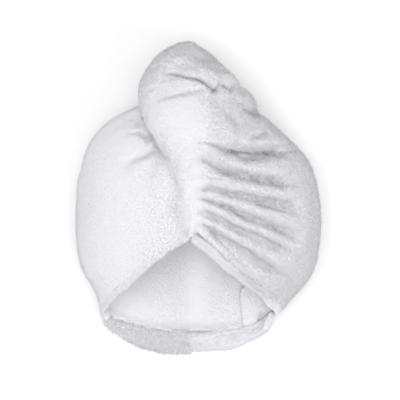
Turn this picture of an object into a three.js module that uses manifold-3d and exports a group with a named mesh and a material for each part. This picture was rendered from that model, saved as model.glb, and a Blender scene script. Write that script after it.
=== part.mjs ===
// A terry hair turban, twisted and fastened as it is worn, lying on its back.
// The hood is a hollow bag of cloth that opens towards -Y. Its front, with the inverted V of the brow
// opening, faces +Z. The long tail is twisted into a roll that starts on the front seam, goes over the
// crown at +Y and runs back beneath the hood to the nape, where a button and loop hold it.
// Lengths are in millimetres, +Z is up and the origin is on the surface below the middle of the part.
import * as THREE from "three";
import { mergeVertices } from "three/addons/utils/BufferGeometryUtils.js";
import Module from "manifold-3d";

const wasm = await Module();
wasm.setup();

// Driving sizes of the hood.
const hoodWidth = 256; // across both side bulges
const hoodLength = 271; // from the crown to the nape edge
const hoodHeight = 133; // from the surface to the front of the hood
const crownY = 111.6; // where the crown lies, ahead of the origin
const clothWall = 4; // terry with its pile
const ridgeHeight = 12; // how far the gathered front seam stands out
const ridgeWidth = 11;
const pleatDepth = 8;
const pleatWidth = 4.4;

// Driving sizes of the tail.
const tailReach = 53; // how far the roll passes the crown
const tailBackWidth = 78; // across the flattened run beneath the hood
const tailBackThickness = 24;
const tipInset = 45; // from the nape edge to the tip beneath the hood
const tailBackLength = hoodLength - tipInset; // from the crown to the tip
const creaseDepth = 9;
const creaseWidth = 4.5;
const twistDepth = 5; // relief of the spiral grooves round the roll
const twistTurns = 2.2;

// Driving sizes of the edges and the small pieces.
const napeBandWidth = 19;
const napeBandThickness = 7;
const hemWidth = 9;
const hemThickness = 6;
const hemFoldWidth = 3; // the groove between the two rolls of the right hem
const facingThickness = 1.5;
const facingReach = 38; // how far the facing goes in from the nape band
const buttonDiameter = 15;
const buttonThickness = 3;
const stemDiameter = 4;
const loopWire = 2.4;
const seamGap = 0.35; // clearance between pieces that are sewn together

// Sections of the hood from the crown to the nape. "at" is a share of hoodLength, left and right are
// shares of half of hoodWidth, and top, side and back are shares of hoodHeight. A back below zero is
// pressed flat where the cloth rests.
const hoodSections = [
  { at: 0.0, left: 0.0, right: 0.0, top: 0.42, side: 0.42, back: 0.42 },
  { at: 0.018, left: 0.3, right: 0.25, top: 0.6, side: 0.41, back: 0.24 },
  { at: 0.046, left: 0.49, right: 0.4, top: 0.7, side: 0.4, back: 0.13 },
  { at: 0.1, left: 0.7, right: 0.54, top: 0.8, side: 0.39, back: 0.04 },
  { at: 0.17, left: 0.86, right: 0.74, top: 0.88, side: 0.38, back: -0.05 },
  { at: 0.25, left: 0.94, right: 0.91, top: 0.95, side: 0.37, back: -0.06 },
  { at: 0.36, left: 0.985, right: 0.985, top: 1.0, side: 0.36, back: -0.06 },
  { at: 0.48, left: 1.0, right: 1.0, top: 0.99, side: 0.35, back: -0.06 },
  { at: 0.58, left: 0.995, right: 0.985, top: 0.94, side: 0.33, back: -0.05 },
  { at: 0.69, left: 0.95, right: 0.935, top: 0.83, side: 0.3, back: -0.05 },
  { at: 0.76, left: 0.855, right: 0.84, top: 0.72, side: 0.27, back: -0.04 },
  { at: 0.82, left: 0.81, right: 0.715, top: 0.6, side: 0.24, back: -0.04 },
  { at: 0.88, left: 0.795, right: 0.63, top: 0.47, side: 0.2, back: -0.03 },
  { at: 0.94, left: 0.74, right: 0.585, top: 0.38, side: 0.16, back: -0.03 },
  { at: 1.0, left: 0.66, right: 0.53, top: 0.34, side: 0.12, back: -0.02 },
];
const frontRoundness = 2.2;
const backRoundness = 2.8;

// Where the cloth of the hood ends, as a share of hoodLength, by the angle around the opening:
// 0 is the right side, 92 the point of the V, 180 the left side and 270 the nape.
const rimRows = [
  { angle: 0, at: 0.84 },
  { angle: 34, at: 0.8 },
  { angle: 64, at: 0.72 },
  { angle: 81, at: 0.625 },
  { angle: 92, at: 0.52 },
  { angle: 104, at: 0.6 },
  { angle: 123, at: 0.705 },
  { angle: 156, at: 0.805 },
  { angle: 180, at: 0.845 },
  { angle: 200, at: 0.868 },
  { angle: 225, at: 0.9 },
  { angle: 248, at: 0.93 },
  { angle: 270, at: 0.937 },
  { angle: 292, at: 0.93 },
  { angle: 312, at: 0.905 },
  { angle: 340, at: 0.865 },
  { angle: 360, at: 0.84 },
];
const vPointAngle = 92;
const leftCornerAngle = 190;
const rightCornerAngle = 350;

// The raised front seam, from the point of the V up into the tail: x is a share of half of hoodWidth
// and y a share of hoodLength from the crown.
const ridgePath = [
  { x: -0.05, y: 0.6 },
  { x: -0.085, y: 0.5 },
  { x: -0.1, y: 0.4 },
  { x: -0.13, y: 0.32 },
  { x: -0.2, y: 0.26 },
];

// Pleats of the right panel, which fan out from the front seam. Each is a valley from its start past
// its middle to its end, in the same shares as ridgePath; deep is a share of pleatDepth.
const pleats = [
  { x0: 0.4, y0: 0.255, x1: 0.56, y1: 0.24, x2: 0.68, y2: 0.22, deep: 1.3, wide: 1.1 },
  { x0: 0.07, y0: 0.27, x1: 0.26, y1: 0.31, x2: 0.7, y2: 0.35, deep: 1.0, wide: 1.0 },
  { x0: 0.08, y0: 0.375, x1: 0.3, y1: 0.4, x2: 0.78, y2: 0.437, deep: 1.0, wide: 1.0 },
  { x0: 0.08, y0: 0.412, x1: 0.34, y1: 0.465, x2: 0.76, y2: 0.55, deep: 0.9, wide: 0.9 },
  { x0: 0.07, y0: 0.463, x1: 0.32, y1: 0.53, x2: 0.66, y2: 0.6, deep: 0.9, wide: 0.9 },
  { x0: 0.11, y0: 0.53, x1: 0.34, y1: 0.6, x2: 0.6, y2: 0.68, deep: 0.7, wide: 0.9 },
  { x0: 0.36, y0: 0.71, x1: 0.47, y1: 0.76, x2: 0.6, y2: 0.8, deep: 0.8, wide: 1.2 },
  { x0: -0.17, y0: 0.4, x1: -0.19, y1: 0.48, x2: -0.16, y2: 0.58, deep: 0.5, wide: 1.6 },
  { x0: -0.42, y0: 0.13, x1: -0.55, y1: 0.11, x2: -0.68, y2: 0.14, deep: 0.4, wide: 1.0 },
  { x0: -0.36, y0: 0.22, x1: -0.48, y1: 0.25, x2: -0.58, y2: 0.29, deep: 0.35, wide: 1.0 },
];

// Sections of the tail's roll in front of the crown. y is a share of hoodLength from the crown; left,
// mid and right are shares of half of hoodWidth; top is the height of the ridge line at mid, low that
// of its left edge and hang that of its right edge, as shares of hoodHeight. slope is the roundness of
// its right side, from 1, straight, to 2, an ellipse.
const frontRun = [
  { y: 0.395, left: -0.13, mid: -0.09, right: -0.04, top: 1.03, low: 0.98, hang: 0.96, slope: 1.6 },
  { y: 0.35, left: -0.19, mid: -0.09, right: 0.07, top: 1.065, low: 0.96, hang: 0.93, slope: 1.3 },
  { y: 0.31, left: -0.24, mid: -0.095, right: 0.16, top: 1.09, low: 0.92, hang: 0.89, slope: 1.2 },
  { y: 0.28, left: -0.28, mid: -0.09, right: 0.25, top: 1.11, low: 0.88, hang: 0.84, slope: 1.2 },
  { y: 0.257, left: -0.31, mid: -0.08, right: 0.36, top: 1.12, low: 0.86, hang: 0.76, slope: 1.3 },
  { y: 0.238, left: -0.33, mid: -0.07, right: 0.48, top: 1.125, low: 0.85, hang: 0.66, slope: 1.45 },
  { y: 0.222, left: -0.35, mid: -0.055, right: 0.68, top: 1.13, low: 0.84, hang: 0.54, slope: 1.5 },
  { y: 0.2, left: -0.37, mid: -0.04, right: 0.79, top: 1.135, low: 0.83, hang: 0.48, slope: 1.6 },
  { y: 0.17, left: -0.4, mid: -0.025, right: 0.735, top: 1.14, low: 0.82, hang: 0.46, slope: 1.65 },
  { y: 0.138, left: -0.43, mid: -0.015, right: 0.655, top: 1.135, low: 0.81, hang: 0.47, slope: 1.7 },
  { y: 0.1, left: -0.46, mid: -0.015, right: 0.565, top: 1.115, low: 0.79, hang: 0.5, slope: 1.8 },
  { y: 0.06, left: -0.48, mid: -0.025, right: 0.515, top: 1.085, low: 0.76, hang: 0.54, slope: 1.9 },
  { y: 0.02, left: -0.495, mid: -0.04, right: 0.475, top: 1.04, low: 0.73, hang: 0.57, slope: 2.0 },
];
// Round the crown the sections turn about the pivot by tilt, from the front, 0, to the back, 180. Here
// top and low are distances from the pivot, as shares of tailReach.
const crownTurn = [
  { tilt: 22, left: -0.49, mid: -0.055, right: 0.4, top: 1.52, low: 0.8, round: 2.2, slope: 1.9 },
  { tilt: 45, left: -0.465, mid: -0.07, right: 0.32, top: 1.4, low: 0.6, round: 2.0, slope: 1.6 },
  { tilt: 68, left: -0.44, mid: -0.085, right: 0.3, top: 1.24, low: 0.45, round: 1.85, slope: 1.6 },
  { tilt: 90, left: -0.43, mid: -0.095, right: 0.28, top: 1.17, low: 0.4, round: 1.8, slope: 1.6 },
  { tilt: 112, left: -0.4, mid: -0.09, right: 0.27, top: 1.12, low: 0.45, round: 1.9, slope: 1.8 },
  { tilt: 135, left: -0.38, mid: -0.08, right: 0.25, top: 1.1, low: 0.6, round: 2.1, slope: 2.1 },
  { tilt: 158, left: -0.36, mid: -0.07, right: 0.24, top: 1.1, low: 0.8, round: 2.3, slope: 2.3 },
];
// Beneath the hood, y is a share of tailBackLength behind the pivot, mid and half are shares of
// tailBackWidth and thick of tailBackThickness.
const backRun = [
  { y: 0.04, mid: -0.09, half: 0.52, thick: 1.0 },
  { y: 0.18, mid: -0.07, half: 0.51, thick: 1.0 },
  { y: 0.34, mid: -0.05, half: 0.48, thick: 0.96 },
  { y: 0.5, mid: -0.04, half: 0.44, thick: 0.88 },
  { y: 0.66, mid: -0.03, half: 0.39, thick: 0.78 },
  { y: 0.8, mid: -0.03, half: 0.32, thick: 0.64 },
  { y: 0.91, mid: -0.03, half: 0.24, thick: 0.48 },
  { y: 1.0, mid: -0.03, half: 0.12, thick: 0.3 },
];

// Creases of the roll that show from the front, in the shares of ridgePath, with y ahead of the crown
// negative; deep and wide are shares of creaseDepth and creaseWidth.
const creases = [
  { x0: -0.22, y0: -0.065, x1: -0.02, y1: -0.06, x2: 0.17, y2: -0.005, deep: 1.0, wide: 1.0 },
  { x0: -0.32, y0: 0.02, x1: -0.12, y1: 0.0, x2: 0.17, y2: -0.005, deep: 0.7, wide: 0.8 },
  { x0: 0.2, y0: -0.035, x1: 0.27, y1: -0.025, x2: 0.4, y2: -0.02, deep: 0.7, wide: 1.0 },
  { x0: -0.14, y0: -0.155, x1: 0.03, y1: -0.135, x2: 0.2, y2: -0.06, deep: 0.45, wide: 1.4 },
  { x0: 0.22, y0: 0.05, x1: 0.32, y1: 0.075, x2: 0.4, y2: 0.13, deep: 0.4, wide: 1.4 },
  { x0: 0.12, y0: 0.2, x1: 0.3, y1: 0.235, x2: 0.5, y2: 0.235, deep: 0.6, wide: 1.2 },
];

// A smooth value between table rows, by Hermite curves through them.
function between(rows, place, column, at) {
  let i = 0;
  while (i < rows.length - 2 && rows[i + 1][place] <= at) i += 1;
  const [from, to] = [rows[i], rows[i + 1]];
  const before = rows[Math.max(i - 1, 0)];
  const after = rows[Math.min(i + 2, rows.length - 1)];
  const span = to[place] - from[place];
  const share = THREE.MathUtils.clamp((at - from[place]) / span, 0, 1);
  const slopeFrom = ((to[column] - before[column]) / (to[place] - before[place])) * span;
  const slopeTo = ((after[column] - from[column]) / (after[place] - from[place])) * span;
  const square = share * share;
  const cube = square * share;
  return (
    from[column] * (2 * cube - 3 * square + 1) +
    slopeFrom * (cube - 2 * square + share) +
    to[column] * (3 * square - 2 * cube) +
    slopeTo * (cube - square)
  );
}

// A straight value between table rows, for edges with corners.
function straight(rows, place, column, at) {
  let i = 0;
  while (i < rows.length - 2 && rows[i + 1][place] <= at) i += 1;
  const share = (at - rows[i][place]) / (rows[i + 1][place] - rows[i][place]);
  return THREE.MathUtils.lerp(rows[i][column], rows[i + 1][column], THREE.MathUtils.clamp(share, 0, 1));
}

// The hood's sections are looked up by the square root of their place, which keeps the crown round.
const roundedSections = hoodSections.map((row) => ({ ...row, root: Math.sqrt(row.at) }));

const signedPower = (value, power) => Math.sign(value) * Math.abs(value) ** power;
const bell = (distance) => Math.exp(-distance * distance);

// Where a point of the front lies, in millimetres, from the shares that the fold tables use.
const frontX = (share) => (share * hoodWidth) / 2;
const frontY = (share) => crownY - share * hoodLength;

// Distance of (x, y) from a fold, which bends through its middle point, and how far along it that is.
const foldSteps = 14;
function foldLine(row) {
  const curve = new THREE.QuadraticBezierCurve(
    new THREE.Vector2(frontX(row.x0), frontY(row.y0)),
    new THREE.Vector2(
      frontX(2 * row.x1 - (row.x0 + row.x2) / 2),
      frontY(2 * row.y1 - (row.y0 + row.y2) / 2),
    ),
    new THREE.Vector2(frontX(row.x2), frontY(row.y2)),
  );
  return curve.getPoints(foldSteps);
}
function lineDistance(points, x, y) {
  let nearest = Infinity;
  for (let i = 0; i < points.length - 1; i += 1) {
    const dx = points[i + 1].x - points[i].x;
    const dy = points[i + 1].y - points[i].y;
    const along = ((x - points[i].x) * dx + (y - points[i].y) * dy) / (dx * dx + dy * dy);
    const share = THREE.MathUtils.clamp(along, 0, 1);
    nearest = Math.min(nearest, Math.hypot(x - points[i].x - share * dx, y - points[i].y - share * dy));
  }
  return nearest;
}

const pleatLines = pleats.map((row) => ({ row, points: foldLine(row) }));
const creaseLines = creases.map((row) => ({ row, points: foldLine(row) }));
const ridgeLine = ridgePath.map((row) => new THREE.Vector2(frontX(row.x), frontY(row.y)));

// How far the front of the hood is raised by the seam ridge and sunk by the pleats at (x, y).
function frontRelief(x, y) {
  let relief = ridgeHeight * bell(lineDistance(ridgeLine, x, y) / ridgeWidth);
  for (const { row, points } of pleatLines) {
    const distance = lineDistance(points, x, y) / (row.wide * pleatWidth);
    relief -= row.deep * pleatDepth * bell(distance);
  }
  return relief;
}

// The hood's outer face before its folds, by the distance from the crown and the angle round it. It
// can be followed past the rim, where the hems and the nape band lie.
function hoodAt(fromCrown, angle) {
  const root = Math.sqrt(fromCrown / hoodLength);
  const row = (column) => between(roundedSections, "root", column, root);
  const turn = THREE.MathUtils.degToRad(angle);
  const front = Math.sin(turn) >= 0;
  const power = 2 / (front ? frontRoundness : backRoundness);
  const halfWidth = (row(Math.cos(turn) < 0 ? "left" : "right") * hoodWidth) / 2;
  const side = row("side") * hoodHeight;
  const farthest = row(front ? "top" : "back") * hoodHeight;
  const x = halfWidth * signedPower(Math.cos(turn), power);
  const y = crownY - fromCrown;
  const z = side + Math.abs(farthest - side) * signedPower(Math.sin(turn), power);
  return new THREE.Vector3(x, y, front ? z : overTail(x, y, Math.max(z, 0)));
}

// The hood's back is lifted where the tail lies beneath it: the height of its cloth there.
const bridgeSpread = 1.5; // the cloth bridges over a strip that is wider than the tail
const bridgeRoundness = 2;
const bridgeBlend = 6; // millimetres over which the bridge runs into the back
const buttonRoom = 0.2; // share of tailBackLength past the tip over which the cloth stays lifted
const tipFade = 0.08;
function overTail(x, y, z) {
  const share = Math.max((crownY - y) / tailBackLength, 0);
  if (share > 1 + buttonRoom) return z;
  const thick = between(backRun, "y", "thick", share) * tailBackThickness;
  const half = between(backRun, "y", "half", share) * tailBackWidth * bridgeSpread;
  const middle = between(backRun, "y", "mid", share) * tailBackWidth;
  const across = Math.min(Math.abs(x - middle) / half, 1);
  const fade = THREE.MathUtils.smoothstep(1 + buttonRoom - share, 0, tipFade);
  const bridge = (1 - across ** bridgeRoundness) ** bridgeRoundness * fade;
  const ceiling = (thick + seamGap) * bridge;
  return (z + ceiling + Math.hypot(z - ceiling, bridgeBlend * bridge)) / 2;
}

// A point of the cloth, lifted along its own normal and folded where it faces the front.
const fullyFront = 0.45; // upward part of the normal from which the folds have their full depth
function hoodCloth(fromCrown, angle, lift) {
  const point = hoodAt(fromCrown, angle);
  const step = Math.min(1, fromCrown / 2);
  const along = hoodAt(fromCrown + step, angle).sub(hoodAt(fromCrown - step, angle));
  const around = hoodAt(fromCrown, angle + 1).sub(hoodAt(fromCrown, angle - 1));
  const normal = around.cross(along).normalize();
  const facing = THREE.MathUtils.smoothstep(normal.z, 0, fullyFront);
  return point.addScaledVector(normal, lift + facing * frontRelief(point.x, point.y));
}
const rimDistance = (angle) => straight(rimRows, "angle", "at", angle) * hoodLength;

// Places along the hood, as shares of the way from the crown to the rim: close together at the crown,
// which is round, and again where the pleats lie. Then the angles round it.
const rowSpans = [
  { from: 0, to: 0.05, steps: 4 },
  { from: 0.05, to: 0.33, steps: 7 },
  { from: 0.33, to: 0.93, steps: 23 },
  { from: 0.93, to: 1, steps: 3 },
];
const rowPlaces = rowSpans.flatMap(({ from, to, steps }) =>
  Array.from({ length: steps }, (_, i) => from + ((to - from) * (i + 1)) / steps),
);
const angleSpans = {
  rightFront: { from: rightCornerAngle - 360, to: vPointAngle, steps: 16 },
  leftFront: { from: vPointAngle, to: leftCornerAngle, steps: 11 },
  nape: { from: leftCornerAngle, to: rightCornerAngle, steps: 16 },
};
const spanAngles = ({ from, to, steps }) =>
  Array.from({ length: steps + 1 }, (_, i) => from + ((to - from) * i) / steps);
const roundAngles = Object.values(angleSpans).flatMap((span) => spanAngles(span).slice(0, -1));

// A closed body from rings of equal length. The first and the last ring are shut by a fan, or, where
// the rings are flat and bent, by a strip between their two halves.
function bodyFromRings(rings, flat = false) {
  const positions = [];
  const faces = [];
  const count = rings[0].length;
  rings.forEach((ring) => ring.forEach((p) => positions.push(p.x, p.y, p.z)));
  for (let r = 0; r < rings.length - 1; r += 1) {
    for (let i = 0; i < count; i += 1) {
      const next = (i + 1) % count;
      const [a, b, c, d] = [r * count + i, r * count + next, (r + 1) * count + next, (r + 1) * count + i];
      faces.push(a, b, c, a, c, d);
    }
  }
  const addFan = (ring, first, flip) => {
    const centre = ring.reduce((sum, p) => sum.add(p), new THREE.Vector3()).divideScalar(count);
    const middle = positions.length / 3;
    positions.push(centre.x, centre.y, centre.z);
    for (let i = 0; i < count; i += 1) {
      const next = first + ((i + 1) % count);
      faces.push(...(flip ? [next, first + i, middle] : [first + i, next, middle]));
    }
  };
  const addStrip = (first, flip) => {
    for (let i = 0; i < count / 2 - 1; i += 1) {
      const [a, b, c, d] = [i, i + 1, count - 2 - i, count - 1 - i].map((k) => first + k);
      faces.push(...(flip ? [b, a, d, b, d, c] : [a, b, c, a, c, d]));
    }
  };
  const last = (rings.length - 1) * count;
  if (flat) {
    addStrip(0, true);
    addStrip(last, false);
  } else {
    addFan(rings[0], 0, true);
    addFan(rings.at(-1), last, false);
  }
  return closedGeometry(positions, faces);
}

function closedGeometry(positions, faces) {
  const geometry = new THREE.BufferGeometry();
  geometry.setAttribute("position", new THREE.Float32BufferAttribute(positions, 3));
  geometry.setIndex(faces);
  const merged = mergeVertices(geometry, 1e-4);
  const index = merged.index.array;
  const kept = [];
  for (let i = 0; i < index.length; i += 3) {
    const [a, b, c] = [index[i], index[i + 1], index[i + 2]];
    if (a !== b && b !== c && c !== a) kept.push(a, b, c);
  }
  merged.setIndex(kept);
  return merged;
}

function toManifold(geometry) {
  const mesh = new wasm.Mesh({
    numProp: 3,
    vertProperties: new Float32Array(geometry.attributes.position.array),
    triVerts: new Uint32Array(geometry.index.array),
  });
  return new wasm.Manifold(mesh);
}

function fromManifold(body) {
  const { vertProperties, triVerts } = body.getMesh();
  const geometry = new THREE.BufferGeometry();
  geometry.setAttribute("position", new THREE.BufferAttribute(vertProperties, 3));
  geometry.setIndex(new THREE.BufferAttribute(triVerts, 1));
  return geometry;
}

const hoodRing = (place, lift) =>
  roundAngles.map((angle) => hoodCloth(place * rimDistance(angle), angle, lift));

// The hood is a shell: outer face from the crown to the rim, then the inner face back to the crown.
function hoodShell() {
  const outer = rowPlaces.map((place) => hoodRing(place, 0));
  const inner = rowPlaces.map((place) => hoodRing(place, -clothWall));
  return bodyFromRings([...outer, ...inner.reverse()]);
}

// The hood is sewn from two panels, which meet in the raised front seam and in the side seam beside the
// facing. One plane holds both seams, and each panel keeps back from it by half a gap.
const sideSeamAt = 0.8; // how far down the back the plane meets the side seam, as a share of hoodLength
function seamPlane() {
  const [start, end] = [ridgePath[0], ridgePath.at(-1)];
  return new THREE.Plane().setFromCoplanarPoints(
    new THREE.Vector3(frontX(start.x), frontY(start.y), hoodHeight),
    new THREE.Vector3(frontX(end.x), frontY(end.y), hoodHeight),
    new THREE.Vector3(frontX(facingSeamX), frontY(sideSeamAt), 0),
  );
}
const panelDetail = 0.25; // relief finer than this is dropped from the panels
function hoodPanel(side) {
  const { normal, constant } = seamPlane();
  const way = normal.clone().multiplyScalar(side * Math.sign(normal.x));
  const offset = -side * Math.sign(normal.x) * constant;
  const panel = toManifold(hoodShell()).trimByPlane(way.toArray(), offset + seamGap / 2);
  return fromManifold(largest(panel).setTolerance(panelDetail));
}

// The space that the hood fills with its hollow, grown by a clearance. The tail is cut back from it.
function hoodCutter(clearance) {
  return bodyFromRings(rowPlaces.map((place) => hoodRing(place, clearance)));
}

// An edge strip that carries on from the rim along one span of angles, in line with the hood's cloth
// inside and proud of it outside. It stops short of its neighbours by half a gap at each end.
const stripSides = 10;
const stripRoundness = 3;
function edgeStrip(span, width, outside, inside, groove) {
  const reach = (2 * seamGap) / hoodWidth;
  const angles = spanAngles(span);
  angles[0] += THREE.MathUtils.radToDeg(reach);
  angles[span.steps] -= THREE.MathUtils.radToDeg(reach);
  const rings = angles.map((angle) => {
    const ring = [];
    for (let side = 0; side < stripSides; side += 1) {
      const turn = (side / stripSides) * 2 * Math.PI;
      const [past, up] = [Math.cos(turn), Math.sin(turn)].map((v) => signedPower(v, 2 / stripRoundness));
      const sink = up > 0 ? groove * bell((past * width) / 2 / hemFoldWidth) : 0;
      const lift = (outside + inside + up * (outside - inside)) / 2 - sink;
      ring.push(hoodCloth(rimDistance(angle) + seamGap + (width / 2) * (1 + past), angle, lift));
    }
    return ring;
  });
  return bodyFromRings(rings);
}

// The facing lies on the inner face of the back, from the side seam to the right corner, along the
// seam of the nape band.
const facingSeamX = 0.4; // place of the side seam, as a share of half of hoodWidth
const facingRimAngle = 330; // where the rim is read for the place of the side seam
const facingRows = 6;
const facingSteps = 6;
function facingAngle(fromCrown, along) {
  const half = between(roundedSections, "root", "right", Math.sqrt(fromCrown / hoodLength));
  const seam = 360 - THREE.MathUtils.radToDeg(Math.acos((facingSeamX / half) ** (backRoundness / 2)));
  return THREE.MathUtils.lerp(seam, rightCornerAngle, along);
}
function cornerFacing() {
  const rings = [];
  for (let i = 0; i <= facingRows; i += 1) {
    const inward = seamGap + facingReach * (1 - i / facingRows);
    const point = (along, lift) => {
      const angle = facingAngle(rimDistance(facingRimAngle) - inward, along);
      return hoodCloth(rimDistance(angle) - inward, angle, lift);
    };
    const face = Array.from({ length: facingSteps + 1 }, (_, k) => k / facingSteps);
    const under = -clothWall - 2 * seamGap;
    rings.push([
      ...face.map((along) => point(along, under)),
      ...face.reverse().map((along) => point(along, under - facingThickness)),
    ]);
  }
  return bodyFromRings(rings, true);
}

// One rounded section of the tail. Its plane holds +X and its own outward direction, tilted from +Z;
// heights are measured outward from the origin of the section.
const tailSides = 28;
const tailRoundness = 2.3;
function tailSection({ y, z, tilt, left, mid, right, top, low, hang, bottom, round, slope }) {
  const ring = [];
  for (let side = 0; side < tailSides; side += 1) {
    const turn = (side / tailSides) * 2 * Math.PI;
    const [across, up] = [Math.cos(turn), Math.sin(turn)];
    const widest = across < 0 ? low : hang;
    const power = 2 / (across < 0 ? round : slope);
    const height = widest + signedPower(up, power) * (up > 0 ? top - widest : widest - bottom);
    const x = mid + signedPower(across, power) * (across < 0 ? mid - left : right - mid);
    ring.push(new THREE.Vector3(x, y + Math.sin(tilt) * height, z + Math.cos(tilt) * height));
  }
  return ring;
}

const halfWidth = hoodWidth / 2;
const pivotInset = 9; // how far the centre of the turn lies inside the crown
const pivot = { y: crownY - pivotInset, z: hoodSections[0].side * hoodHeight };
const frontDepth = 0.06; // how far the front sections reach below their edges, as a share of hoodHeight
const turnDepth = 0.2; // where the turned sections start, as a share of tailReach; the hood cuts them
const backBulge = 1.12; // the back sections rise past their middle and are cut by the hood too
function tailRows() {
  const front = frontRun.map((row) => ({
    y: crownY - row.y * hoodLength,
    z: 0,
    tilt: 0,
    left: row.left * halfWidth,
    mid: row.mid * halfWidth,
    right: row.right * halfWidth,
    top: row.top * hoodHeight,
    low: row.low * hoodHeight,
    hang: row.hang * hoodHeight,
    bottom: (Math.min(row.low, row.hang) - frontDepth) * hoodHeight,
    round: tailRoundness,
    slope: row.slope,
  }));
  const turn = crownTurn.map((row) => ({
    y: pivot.y,
    z: pivot.z,
    tilt: THREE.MathUtils.degToRad(row.tilt),
    left: row.left * halfWidth,
    mid: row.mid * halfWidth,
    right: row.right * halfWidth,
    top: row.top * tailReach,
    low: row.low * tailReach,
    hang: row.low * tailReach,
    bottom: turnDepth * tailReach,
    round: row.round,
    slope: row.slope,
  }));
  const back = backRun.map((row) => {
    const thick = row.thick * tailBackThickness;
    const middle = row.mid * tailBackWidth;
    const half = row.half * tailBackWidth;
    return {
      y: crownY - row.y * tailBackLength,
      z: thick,
      tilt: Math.PI,
      left: middle - half,
      mid: middle,
      right: middle + half,
      top: thick * backBulge,
      low: thick / 2,
      hang: thick / 2,
      bottom: 0,
      round: tailRoundness,
      slope: tailRoundness,
    };
  });
  return [...front, ...turn, ...back];
}

// The roll is lofted through its sections, creased where the front shows it and grooved by its twist.
const loftSteps = 2;
const twistGrooves = 2; // grooves side by side round the roll
const twistStart = 0.5; // shares of the way along the roll between which the grooves deepen
const twistFull = 0.62;
const grooveSharpness = 3;
function twistSink(way, around) {
  const phase = twistGrooves * (around + twistTurns * way) * 2 * Math.PI;
  const depth = twistDepth * THREE.MathUtils.smoothstep(way, twistStart, twistFull);
  return depth * (0.5 + 0.5 * Math.cos(phase)) ** grooveSharpness;
}
function creaseSink(x, y) {
  return creaseLines.reduce((sink, { row, points }) => {
    const distance = lineDistance(points, x, y) / (row.wide * creaseWidth);
    return sink + row.deep * creaseDepth * bell(distance);
  }, 0);
}
function tailRings() {
  const sections = tailRows().map(tailSection);
  const last = (sections.length - 1) * loftSteps;
  const edges = Array.from({ length: tailSides }, (_, side) =>
    new THREE.CatmullRomCurve3(sections.map((ring) => ring[side])).getPoints(last),
  );
  const rings = [];
  for (let i = 0; i <= last; i += 1) {
    const ring = edges.map((points) => points[i]);
    const middle = ring.reduce((sum, p) => sum.add(p), new THREE.Vector3()).divideScalar(tailSides);
    rings.push(
      ring.map((point, side) => {
        const inward = middle.clone().sub(point).normalize();
        const folds = point.z > pivot.z ? creaseSink(point.x, point.y) : 0;
        const sunk = point.clone().addScaledVector(inward, folds + twistSink(i / last, side / tailSides));
        sunk.z = Math.max(sunk.z, 0);
        return sunk;
      }),
    );
  }
  return rings;
}

function tailBody() {
  const roll = toManifold(bodyFromRings(tailRings().reverse()));
  const room = toManifold(hoodCutter(seamGap));
  return fromManifold(largest(roll.subtract(room)));
}

const finest = 0.02; // shorter edges that a cut leaves are merged
function largest(body) {
  return body.decompose().sort((a, b) => b.volume() - a.volume())[0].setTolerance(finest);
}

// The button and the loop that hold the tail at the nape, as one plain piece beneath the hood. The
// button hangs from the cloth above it by its stem, and the loop goes from there to the tail's tip.
const buttonLift = 0.6; // clear of the surface
const loopSink = 0.5; // how far the loop is pressed into the button
const roundSides = 12;
function fastener() {
  const tip = backRun.at(-1);
  const x = tip.mid * tailBackWidth;
  const tipY = crownY - tip.y * tailBackLength;
  const stemY = tipY - buttonDiameter / 2 - 2 * seamGap - loopWire;
  const radius = buttonDiameter / 2;
  const disc = new THREE.CylinderGeometry(radius, radius, buttonThickness, roundSides);
  disc.rotateX(Math.PI / 2).translate(x, stemY, buttonLift + buttonThickness / 2);
  const stemHeight = tailBackThickness - buttonLift; // into the cloth above, which trims it
  const stem = new THREE.CylinderGeometry(stemDiameter / 2, stemDiameter / 2, stemHeight, roundSides);
  stem.rotateX(Math.PI / 2).translate(x, stemY, buttonLift + stemHeight / 2);
  const loopRadius = (stemDiameter + loopWire) / 2 + seamGap;
  const loopZ = buttonLift + buttonThickness + loopWire / 2 - loopSink;
  const far = tipY - seamGap - loopWire / 2;
  const path = new THREE.CatmullRomCurve3(
    [
      [-loopRadius, stemY],
      [0, stemY - loopRadius],
      [loopRadius, stemY],
      [loopRadius, (stemY + far) / 2],
      [0, far],
      [-loopRadius, (stemY + far) / 2],
    ].map(([across, y]) => new THREE.Vector3(x + across, y, loopZ)),
    true,
  );
  const wire = new THREE.Shape().absarc(0, 0, loopWire / 2, 0, 2 * Math.PI);
  const loop = new THREE.ExtrudeGeometry(wire, { steps: 16, curveSegments: 3, extrudePath: path });
  const [solid, post, wireLoop] = [disc, stem, loop].map((part) => toManifold(closedCopy(part)));
  return fromManifold(largest(solid.add(post).add(wireLoop).subtract(toManifold(hoodCutter(seamGap)))));
}

// A copy with only its positions, merged, so that its faces close.
function closedCopy(geometry) {
  const bare = geometry.clone();
  bare.deleteAttribute("normal");
  bare.deleteAttribute("uv");
  const merged = mergeVertices(bare, 1e-4);
  return closedGeometry(Array.from(merged.attributes.position.array), Array.from(merged.index.array));
}

const terry = new THREE.MeshStandardMaterial({ color: 0xf1f1f4, roughness: 1, metalness: 0 });
const materials = {
  nape_band: new THREE.MeshStandardMaterial({ color: 0xf2f2f5, roughness: 1, metalness: 0 }),
  corner_facing: new THREE.MeshStandardMaterial({ color: 0xf5f5f7, roughness: 0.9, metalness: 0 }),
  fastener: new THREE.MeshStandardMaterial({ color: 0xe9e9ea, roughness: 0.6, metalness: 0 }),
};

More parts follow.
